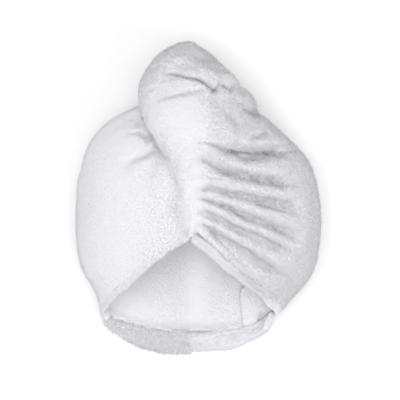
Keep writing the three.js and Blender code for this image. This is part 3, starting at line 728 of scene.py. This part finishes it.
# Length of the pile as a share of the tufts' own, at places in millimetres: it is short on the left
# panel, on the left of the tail and on the ridge, long where it is ruffled, and gone in the creases.
coverSetup = {
    "short": 0.6,
    "tailTop": (98, 124),
    "right": (-8, 18),
    "slant": (0.2, 80, 60),  # its left end moves right by this share of the way down, from here, so far
    "leftLow": (0.7, (-85, -35), (-75, -40)),
    "core": 0.85,
    "ridge": (-3, 10, (-60, -30), 0.4),  # middle, half width, places along, share taken away
    "rim": 0.8,
}


def coverOf(x, y, bare, rim):
    slope, top, run = coverSetup["slant"]
    leftOfRuffles = slope * np.clip(top - y, 0, run)
    ruffled = eased(x - leftOfRuffles, *coverSetup["right"])
    ruffled = np.maximum(ruffled, eased(y, *coverSetup["tailTop"]))
    share, across, down = coverSetup["leftLow"]
    ruffled = np.maximum(ruffled, share * eased(x, *across) * eased(-y, *down))
    middle, width, along, taken = coverSetup["ridge"]
    ridge = np.exp(-(((x - middle) / width) ** 2)) * eased(-y, *along)
    short = coverSetup["short"]
    cover = (short + (1 - short) * ruffled) * (1 - coverSetup["core"] * bare) * (1 - taken * ridge)
    return np.where(rim, np.maximum(cover, coverSetup["rim"]), cover)


# Creases are painted darker by their depth: painted shade. A faint brownish tint runs along the crease
# below the tail.
creaseShadeAndTintSetup = {
    "foldDepth": 9 * mm,  # a fold this deep has the full crease colour
    "pleatDepth": 12 * mm,
    "pleatMost": 0.5,
    "brownTint": (0.95, (52, 47), (17, 1.5)),  # strength, middle and half widths in millimetres
}


def setCreaseShadeAndTint(mesh, x, y, single, pleats, front):
    # painted shade: the deeper a fold or pleat, the darker it is painted
    creaseShade = np.clip(-single / creaseShadeAndTintSetup["foldDepth"], 0, 1)
    creaseShade += np.clip(-pleats / creaseShadeAndTintSetup["pleatDepth"], 0, creaseShadeAndTintSetup["pleatMost"])
    creaseShade = np.clip(creaseShade * front, 0, 1)
    setAttribute(mesh, "creaseShade", "FLOAT", creaseShade)
    # browner along the crease below the tail
    strength, (middleX, middleY), (widthX, widthY) = creaseShadeAndTintSetup["brownTint"]
    brownTint = strength * np.exp(-(((y - middleY) / widthY) ** 2) - ((x - middleX) / widthX) ** 2) * front
    setAttribute(mesh, "brownTint", "FLOAT", brownTint)


def makeCloth():
    mesh = clothSkin()
    points, edges, normals = pointsOf(mesh), edgesOf(mesh), normalsOf(mesh)
    within, onTail = sidesOf(points, normals)
    seamGap = nearestOn(surfaceOf("nape_band", "front_hem_right"), points)[2]
    bandGap = nearestOn(surfaceOf("nape_band"), points)[2]
    rimGap = nearestOn(surfaceOf("front_hem_left"), points)[2]
    points = settled(points, edges, within)
    setPoints(mesh, points)

    normals = normalsOf(mesh)
    standing = np.abs(normals[:, 2]) < zoneSetup["edgeOn"]
    along = normals * np.where(within, -1.0, 1.0)[:, None]
    lowest = np.where(onTail, clothSetup["tailTurn"], 0.0)
    front = eased(along[:, 2], lowest, lowest + clothSetup["frontTurn"])
    front *= eased(points[:, 2], *clothSetup["frontHeights"])
    waver = bumps(points + 5.0, (clothSetup["waver"],)) / mm
    x, y = points[:, 0] / mm, points[:, 1] / mm
    share = clothSetup["foldWaver"]
    single, core = foldRelief(x + share * waver, y + share * waver)
    across, down = clothSetup["pleatWaver"]
    pleats = pleatRelief(x + across * waver, y + down * waver)
    relief = (single + pleats) * front
    relief += lobeRelief(x, y) * onTail + bumps(points, clothSetup["bumps"])
    swell = clothSetup["seamSwell"]
    sink = clothSetup["sink"] * ((1 + swell) * eased(seamGap, *clothSetup["sinkReach"]) - swell)
    fillet = clothSetup["fillet"] * (1 - eased(bandGap, *clothSetup["filletReach"])) * within
    fillet *= 1 - eased(x, *clothSetup["filletEnd"])
    points = points + along * relief[:, None] - normals * (sink - fillet)[:, None]
    points[:, 2] = np.maximum(points[:, 2], clothSetup["floorGap"])
    setPoints(mesh, points)
    finishMesh(mesh, terryWhite, innerWhite)

    points, normals = pointsOf(mesh), normalsOf(mesh)
    # the outline and the left brow edge have a few longer tufts too, which stand out from what is behind
    rim = (rimGap < zoneSetup["rimReach"]) & (normals[:, 2] > zoneSetup["rimTurn"]) & ~within
    rim &= points[:, 1] > zoneSetup["rimEnd"]
    fringe = (standing & (points[:, 2] > zoneSetup["fringeHeight"]) & ~within) | rim
    zone = setZones(mesh, points, normals, within, onTail, fringe)
    setComb(mesh, points, zone, rim)
    cover = coverOf(x, y, core * front, rim)
    setAttribute(mesh, "cover", "FLOAT", cover)
    setCreaseShadeAndTint(mesh, x, y, single, pleats, front * ~within)
    return linked("turban_cloth", mesh)


cloth = makeCloth()
print("cloth made", len(cloth.data.polygons), "faces")

# The padded casing along the nape. Its two ends meet in a joint right of the middle, where the pile
# also changes its direction.
bandSetup = {
    "voxel": 1.3 * mm,
    "smoothing": 5,
    "swell": 0.4 * mm,
    "sink": 0.7 * mm,
    "seamReach": (1 * mm, 5 * mm),  # its relief fades towards the cloth
    "join": 2.4 * mm,  # how far its edge swells into the cloth
    "joinMiddle": -9 * mm,
    "joinFade": (60 * mm, 78 * mm),  # to both sides of the middle
    "joint": -7 * mm,
    "step": 0.8 * mm,
    "stepWidth": 2.2 * mm,
    "groove": 0.5 * mm,
    "trim": ((-86 * mm, -139 * mm), 15 * mm, 4 * mm),  # where its lower left is flatter, and how much
    "bumps": ((22 * mm, 1.0 * mm), (8 * mm, 0.6 * mm)),
    "bareHeight": 2.5 * mm,
    "combLeft": (-0.5, -1.0, 0.0),
    "combRight": (0.3, -0.9, 0.0),
    "combSeam": (0.0, 1.2, 0.3),
    "combHeight": 8 * mm,  # above this the pile beside the cloth leans towards it
    "cover": (0.9, 0.4),  # of the tufts, and more on the lower edge left of the joint
}


def makeBand():
    mesh = skinOf({"nape_band": bandSetup["swell"]}, bandSetup["voxel"], bandSetup["smoothing"])
    points, normals = pointsOf(mesh), normalsOf(mesh)
    seam = nearestOn(surfaceOf("hood_left", "hood_right"), points)[2]
    beside = (points[:, 0] - bandSetup["joint"]) / bandSetup["stepWidth"]
    relief = bandSetup["step"] * (0.5 - 0.5 * np.tanh(beside))
    relief -= bandSetup["groove"] * np.exp(-(beside**2))
    (trimX, trimY), trimReach, trimDepth = bandSetup["trim"]
    away = np.hypot(points[:, 0] - trimX, points[:, 1] - trimY)
    relief -= trimDepth * np.exp(-((away / trimReach) ** 2))
    free = eased(seam, *bandSetup["seamReach"])
    relief = (relief + bumps(points, bandSetup["bumps"]) - bandSetup["sink"]) * free
    middle = 1 - eased(np.abs(points[:, 0] - bandSetup["joinMiddle"]), *bandSetup["joinFade"])
    relief += bandSetup["join"] * (1 - free) * middle
    points = points + normals * relief[:, None]
    points[:, 2] = np.maximum(points[:, 2], clothSetup["floorGap"])
    setPoints(mesh, points)
    finishMesh(mesh, innerWhite)

    left = points[:, 0] < bandSetup["joint"]
    bare = points[:, 2] < bandSetup["bareHeight"]
    zone = np.where(left, pileZones["left"], pileZones["right"])
    zone[bare] = pileZones["none"]
    setAttribute(mesh, "zone", "INT", zone)
    comb = np.where((left & ~bare)[:, None], bandSetup["combLeft"], bandSetup["combRight"])
    besideSeam = seam < bandSetup["seamReach"][1]
    comb[besideSeam & (points[:, 2] > bandSetup["combHeight"])] = bandSetup["combSeam"]
    setAttribute(mesh, "comb", "FLOAT_VECTOR", comb)
    cover, more = bandSetup["cover"]
    cover = cover + more * eased(-normals[:, 1], 0.2, 0.8) * left
    setAttribute(mesh, "cover", "FLOAT", cover)
    return linked("nape_casing", mesh)


# Gives a small piece one zone of pile with one direction of its nap.
def setPile(mesh, zone, comb, cover):
    count = len(mesh.vertices)
    setAttribute(mesh, "zone", "INT", np.full(count, pileZones[zone]))
    setAttribute(mesh, "comb", "FLOAT_VECTOR", np.tile(comb, (count, 1)))
    setAttribute(mesh, "cover", "FLOAT", cover * np.ones(count))


# The rolled double hem of the right brow edge.
hemSetup = {
    "voxel": 0.9 * mm,
    "smoothing": 4,
    "swell": 1.0 * mm,
    "bumps": ((14 * mm, 0.7 * mm), (5 * mm, 0.35 * mm)),
    "lowerEnd": (98 * mm, 120 * mm),  # down from the middle
    "upperEnd": (-44 * mm, -34 * mm),  # y
    "endSink": (1.8 * mm, 0.9 * mm),  # at its lower and its upper end
    "tuck": 2.6 * mm,  # how far its upper end goes down into the front seam
    "comb": (0.7, -0.7, 0.0),
    "endCover": 0.6,  # share of the pile that its lower end lacks
}


def makeHem():
    mesh = skinOf({"front_hem_right": hemSetup["swell"]}, hemSetup["voxel"], hemSetup["smoothing"])
    points, normals = pointsOf(mesh), normalsOf(mesh)
    end = eased(-points[:, 1], *hemSetup["lowerEnd"])
    top = eased(points[:, 1], *hemSetup["upperEnd"])
    lowerSink, upperSink = hemSetup["endSink"]
    relief = bumps(points, hemSetup["bumps"]) - lowerSink * end - upperSink * top
    points = points + normals * relief[:, None]
    points[:, 2] -= hemSetup["tuck"] * top
    setPoints(mesh, points)
    finishMesh(mesh, innerWhite)
    setPile(mesh, "right", hemSetup["comb"], 1 - hemSetup["endCover"] * end)
    return linked("brow_hem", mesh)


# The thin facing inside the right corner, and the stitches of the side seam along it.
facingSetup = {
    "levels": 2,
    "reach": 11 * mm,  # how far its upper edge goes on beneath the hem
    "reachDown": (-128 * mm, -92 * mm),
    "reachAcross": (66 * mm, 84 * mm),
    "above": 3 * mm,  # height above it from which the wall beneath is looked for
    "bumps": ((18 * mm, 0.5 * mm), (7 * mm, 0.15 * mm)),
    "rise": 1.0 * mm,  # towards the nape band, right of the seam
    "riseReach": (0, 8 * mm),
    "riseAcross": (50 * mm, 60 * mm),
    "tuck": 5.0 * mm,  # its lower right end goes down beneath the band
    "tuckAcross": (60 * mm, 67 * mm),
    "tuckDown": (115 * mm, 122 * mm),
    "comb": (0.5, -0.9, 0.0),
    "seam": ((46.2, -90), (46.6, -98), (47.0, -106), (47.6, -116), (48.6, -127)),  # millimetres
    "seamAbove": 60 * mm,  # height from which the cloth beneath the seam is looked for
    "lift": 0.5 * mm,
    "stitchSpacing": 3.4 * mm,
    "stitchLength": 2.2 * mm,
    "stitchWidth": 0.7 * mm,
}


def makeFacing():
    levels = {"levels": facingSetup["levels"], "render_levels": facingSetup["levels"]}
    mesh = withModifier(mergedCopy({"corner_facing": 0.0}), "SUBSURF", **levels)
    points = pointsOf(mesh)
    wall = surfaceOf("hood_left", "hood_right")

    def wallHeight(rows):
        starts = [Vector(row) + Vector((0, 0, facingSetup["above"])) for row in rows]
        return np.array([wall.ray_cast(start, Vector((0, 0, -1)))[0].z for start in starts])

    before = wallHeight(points)
    reach = eased(points[:, 1], *facingSetup["reachDown"])
    reach = reach * (1 - eased(points[:, 0], *facingSetup["reachAcross"]))
    points[:, 1] += facingSetup["reach"] * reach
    points[:, 2] += wallHeight(points) - before
    points[:, 2] += bumps(points * (1, 1, 0), facingSetup["bumps"])
    bandGap = nearestOn(surfaceOf("nape_band"), points)[2]
    rise = 1 - eased(bandGap, *facingSetup["riseReach"])
    points[:, 2] += facingSetup["rise"] * rise * eased(points[:, 0], *facingSetup["riseAcross"])
    end = eased(points[:, 0], *facingSetup["tuckAcross"])
    end *= eased(-points[:, 1], *facingSetup["tuckDown"])
    points[:, 2] -= facingSetup["tuck"] * end
    setPoints(mesh, points)
    finishMesh(mesh, facingPaintedLight)
    setPile(mesh, "inside", facingSetup["comb"], 1.0)
    return linked("corner_facing_cloth", mesh)


fastenerSetup = {"voxel": 0.45 * mm, "smoothing": 3}


def makeFastener():
    mesh = skinOf({"fastener": 0.0}, fastenerSetup["voxel"], fastenerSetup["smoothing"])
    finishMesh(mesh, buttonWhite)
    return linked("button_and_loop", mesh)


band, hem, facing, fastener = makeBand(), makeHem(), makeFacing(), makeFastener()
print("edges made", [len(piece.data.polygons) for piece in (band, hem, facing, fastener)], "faces")


# Geometry node trees: a tree with its named inputs, and the values of one run set by their sockets.
def newTree(name, sockets):
    tree = bpy.data.node_groups.new(name, "GeometryNodeTree")
    for label, kind in sockets.items():
        tree.interface.new_socket(label, in_out="INPUT", socket_type="NodeSocket" + kind)
    tree.interface.new_socket("Geometry", in_out="OUTPUT", socket_type="NodeSocketGeometry")
    return tree, addNode(tree, "NodeGroupInput").outputs


def closeTree(tree, instances, material):
    realized = addNode(tree, "GeometryNodeRealizeInstances", Geometry=instances)
    finished = addNode(tree, "GeometryNodeSetMaterial", Geometry=realized.outputs[0], Material=material)
    addNode(tree, "NodeGroupOutput", Geometry=finished.outputs[0])


def run(tree, name, mesh, **values):
    piece = linked(name, mesh)
    modifier = piece.modifiers.new("nodes", "NODES")
    modifier.node_group = tree
    for item in tree.interface.items_tree:
        if item.in_out == "INPUT" and item.name in values:
            modifier[item.identifier] = values[item.name]
    made = evaluatedMesh(piece)
    piece.modifiers.clear()
    piece.data = made
    made.polygons.foreach_set("use_smooth", [True] * len(made.polygons))
    print(name, len(made.polygons), "faces")
    return piece


def maths(tree, operation, first, second):
    return addNode(tree, "ShaderNodeMath", {"operation": operation}, i0=first, i1=second).outputs[0]


def vectors(tree, operation, first, **second):
    return addNode(tree, "ShaderNodeVectorMath", {"operation": operation}, i0=first, **second).outputs[0]


def stored(tree, kind, name):
    return addNode(tree, "GeometryNodeInputNamedAttribute", {"data_type": kind}, Name=name).outputs[0]


# Terry pile: short tapered tufts scattered over a surface, leaning with its nap. The attribute that
# Mask names says where they grow.
tuftSizes = (0.65, 1.3)  # the smallest and the largest, as shares of the given length and width
tuftRoot = 0.2  # share of a tuft that lies below the surface


def pileTree():
    sockets = {"Geometry": "Geometry", "Density": "Float", "Zone": "Int", "Length": "Float"}
    sockets |= {"Width": "Float", "Lean": "Float", "Spread": "Float", "Clump": "Float"}
    sockets |= {"ClumpSize": "Float", "Seed": "Int", "Material": "Material", "Mask": "String"}
    tree, given = newTree("terryPile", sockets)
    seed = given["Seed"]
    compare = {"data_type": "INT", "operation": "EQUAL"}
    mask = stored(tree, "INT", given["Mask"])
    chosen = addNode(tree, "FunctionNodeCompare", compare, i2=mask, i3=given["Zone"])
    field = {"Mesh": given["Geometry"], "Selection": chosen.outputs[0], "Density": given["Density"]}
    scatter = addNode(tree, "GeometryNodeDistributePointsOnFaces", Seed=seed, **field)
    leaned = vectors(tree, "SCALE", stored(tree, "FLOAT_VECTOR", "comb"), Scale=given["Lean"])
    spread = {"data_type": "FLOAT_VECTOR"}
    jitter = addNode(tree, "FunctionNodeRandomValue", spread, i0=(-1,) * 3, i1=(1,) * 3, Seed=seed)
    strewn = vectors(tree, "SCALE", jitter.outputs[0], Scale=given["Spread"])
    # neighbours lean alike, which gathers the tufts into clumps
    perMetre = maths(tree, "DIVIDE", 1.0, given["ClumpSize"])
    drift = addNode(tree, "ShaderNodeTexNoise", Scale=perMetre, Detail=1.0)
    centred = vectors(tree, "SUBTRACT", drift.outputs[1], i1=(0.5,) * 3)
    cover = stored(tree, "FLOAT", "cover")
    ruffle = maths(tree, "MULTIPLY", given["Clump"], cover)
    loose = vectors(tree, "ADD", strewn, i1=vectors(tree, "SCALE", centred, Scale=ruffle))
    bent = vectors(tree, "ADD", leaned, i1=loose)
    way = vectors(tree, "ADD", scatter.outputs["Normal"], i1=bent)
    turned = addNode(tree, "FunctionNodeAlignRotationToVector", {"axis": "Z"}, Vector=way)
    smallest, largest = tuftSizes
    random = addNode(tree, "FunctionNodeRandomValue", i2=smallest, i3=largest, Seed=seed)
    size = maths(tree, "MULTIPLY", random.outputs[1], cover)
    radius = maths(tree, "MULTIPLY", given["Width"], 0.5)
    shape = {"Vertices": 3, "Radius_Top": 0.0, "Radius_Bottom": radius, "Depth": given["Length"]}
    tuft = addNode(tree, "GeometryNodeMeshCone", {"fill_type": "NGON"}, **shape).outputs["Mesh"]
    below = maths(tree, "MULTIPLY", given["Length"], -tuftRoot)
    root = addNode(tree, "ShaderNodeCombineXYZ", Z=below)
    rooted = addNode(tree, "GeometryNodeTransform", Geometry=tuft, Translation=root.outputs[0])
    planted = addNode(
        tree,
        "GeometryNodeInstanceOnPoints",
        Points=scatter.outputs["Points"],
        Instance=rooted.outputs[0],
        Rotation=turned.outputs[0],
        Scale=size,
    )
    closeTree(tree, planted.outputs[0], given["Material"])
    return tree


# Stitches: one short thread across the line at each step along it.
def stitchTree():
    sockets = {"Geometry": "Geometry", "Spacing": "Float", "Length": "Float", "Width": "Float"}
    tree, given = newTree("seamStitches", sockets | {"Material": "Material"})
    line = addNode(tree, "GeometryNodeMeshToCurve", Mesh=given["Geometry"])
    steps = addNode(tree, "GeometryNodeResampleCurve", {"mode": "LENGTH"}, Curve=line.outputs[0])
    plug(tree, steps.inputs["Length"], given["Spacing"])
    radius = maths(tree, "MULTIPLY", given["Width"], 0.5)
    thread = addNode(tree, "GeometryNodeMeshUVSphere", Segments=8, Rings=6, Radius=radius)
    stretch = maths(tree, "DIVIDE", given["Length"], given["Width"])
    shape = addNode(tree, "ShaderNodeCombineXYZ", X=stretch, Y=1.0, Z=1.0)
    planted = addNode(
        tree,
        "GeometryNodeInstanceOnPoints",
        Points=steps.outputs[0],
        Instance=thread.outputs["Mesh"],
        Scale=shape.outputs[0],
    )
    closeTree(tree, planted.outputs[0], given["Material"])
    return tree


# For each piece: where it grows, its finish, tufts per square metre, and their length, width, lean,
# spread and clumping.
pileSetup = {
    "pile_left": (cloth, "left", pileWhite, 1.05e6, 2.5, 1.0, 0.7, 0.35, 0.6),
    "pile_right": (cloth, "right", pileWhite, 1.3e6, 3.0, 1.0, 0.5, 0.55, 2.2),
    "pile_tail": (cloth, "tail", pileWhite, 1.15e6, 3.0, 1.0, 0.5, 0.55, 2.2),
    "pile_fringe": (cloth, "fringe", pileWhite, 0.16e6, 4.4, 1.4, 0.4, 0.5, 1.6),
    "pile_inside": (cloth, "inside", pileWhite, 0.62e6, 2.2, 0.8, 1.1, 0.3, 0.7),
    "pile_back": (cloth, "back", pileWhite, 0.35e6, 3.0, 1.5, 0.5, 0.4, 1.0),
    "pile_band_left": (band, "left", pileWhite, 1.1e6, 4.8, 1.4, 0.8, 0.5, 1.6),
    # the band's right half and the hem get the lighter pile: painted light
    "pile_band_right": (band, "right", pilePaintedLight, 1.3e6, 2.6, 1.0, 0.7, 0.35, 0.6),
    "pile_hem": (hem, "right", pilePaintedLight, 1.8e6, 2.4, 0.95, 0.5, 0.35, 0.8),
    "pile_facing": (facing, "inside", facingPaintedLight, 1.2e6, 1.4, 0.8, 0.9, 0.25, 0.5),
}
clumpSize = 1.9 * mm
firstSeed = 11
pileFloor = 0.1 * mm  # no tuft reaches lower
fringeMask = {"Mask": "fringe", "Zone": 1}


def growPile():
    tree = pileTree()
    grown = {}
    for order, (name, row) in enumerate(pileSetup.items()):
        ground, zone, material, density, length, width, lean, spread, clump = row
        values = {"Density": density, "Length": length * mm, "Width": width * mm, "Lean": lean}
        values |= {"Spread": spread, "Clump": clump, "ClumpSize": clumpSize, "Seed": firstSeed + order}
        values |= {"Mask": "zone", "Zone": pileZones[zone]} if zone in pileZones else fringeMask
        grown[name] = run(tree, name, ground.data.copy(), Material=material, **values)
        points = pointsOf(grown[name].data)
        points[:, 2] = np.maximum(points[:, 2], pileFloor)
        setPoints(grown[name].data, points)
    return grown


def makeStitches():
    ground = surfaceOf("corner_facing")
    back = surfaceOf("hood_left", "hood_right")
    points = []
    for x, y in facingSetup["seam"]:
        above = Vector((x * mm, y * mm, facingSetup["seamAbove"]))
        hits = [tree.ray_cast(above, Vector((0, 0, -1)))[0] for tree in (ground, back)]
        top = max(hit.z for hit in hits if hit)
        points.append((x * mm, y * mm, top + facingSetup["lift"]))
    mesh = bpy.data.meshes.new("seamLine")
    mesh.from_pydata(points, [(i, i + 1) for i in range(len(points) - 1)], [])
    values = {"Spacing": "stitchSpacing", "Length": "stitchLength", "Width": "stitchWidth"}
    values = {name: facingSetup[key] for name, key in values.items()}
    return run(stitchTree(), "side_seam_stitches", mesh, Material=threadWhite, **values)


pile = growPile()
stitches = makeStitches()
added = [cloth, band, hem, facing, fastener, stitches, *pile.values()]
for piece in added:
    piece.data.calc_loop_triangles()
print("triangles", sum(len(piece.data.loop_triangles) for piece in added))

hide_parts("hood_left", "hood_right", "tail", "front_hem_left")
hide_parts("nape_band")
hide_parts("front_hem_right")
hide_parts("corner_facing")
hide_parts("fastener")
slots = {"terry": [cloth], "terry_band": [band], "terry_hem": [hem], "facing_cloth": [facing, stitches]}
slots["button_loop"] = [fastener]
pileSlots = {"band": "terry_band", "hem": "terry_hem", "facing": "facing_cloth"}
for name, piece in pile.items():
    place = name.split("_")[1]
    slots[pileSlots.get(place, "terry")].append(piece)
for name, pieces in slots.items():
    for piece in pieces:
        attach(piece, "root")
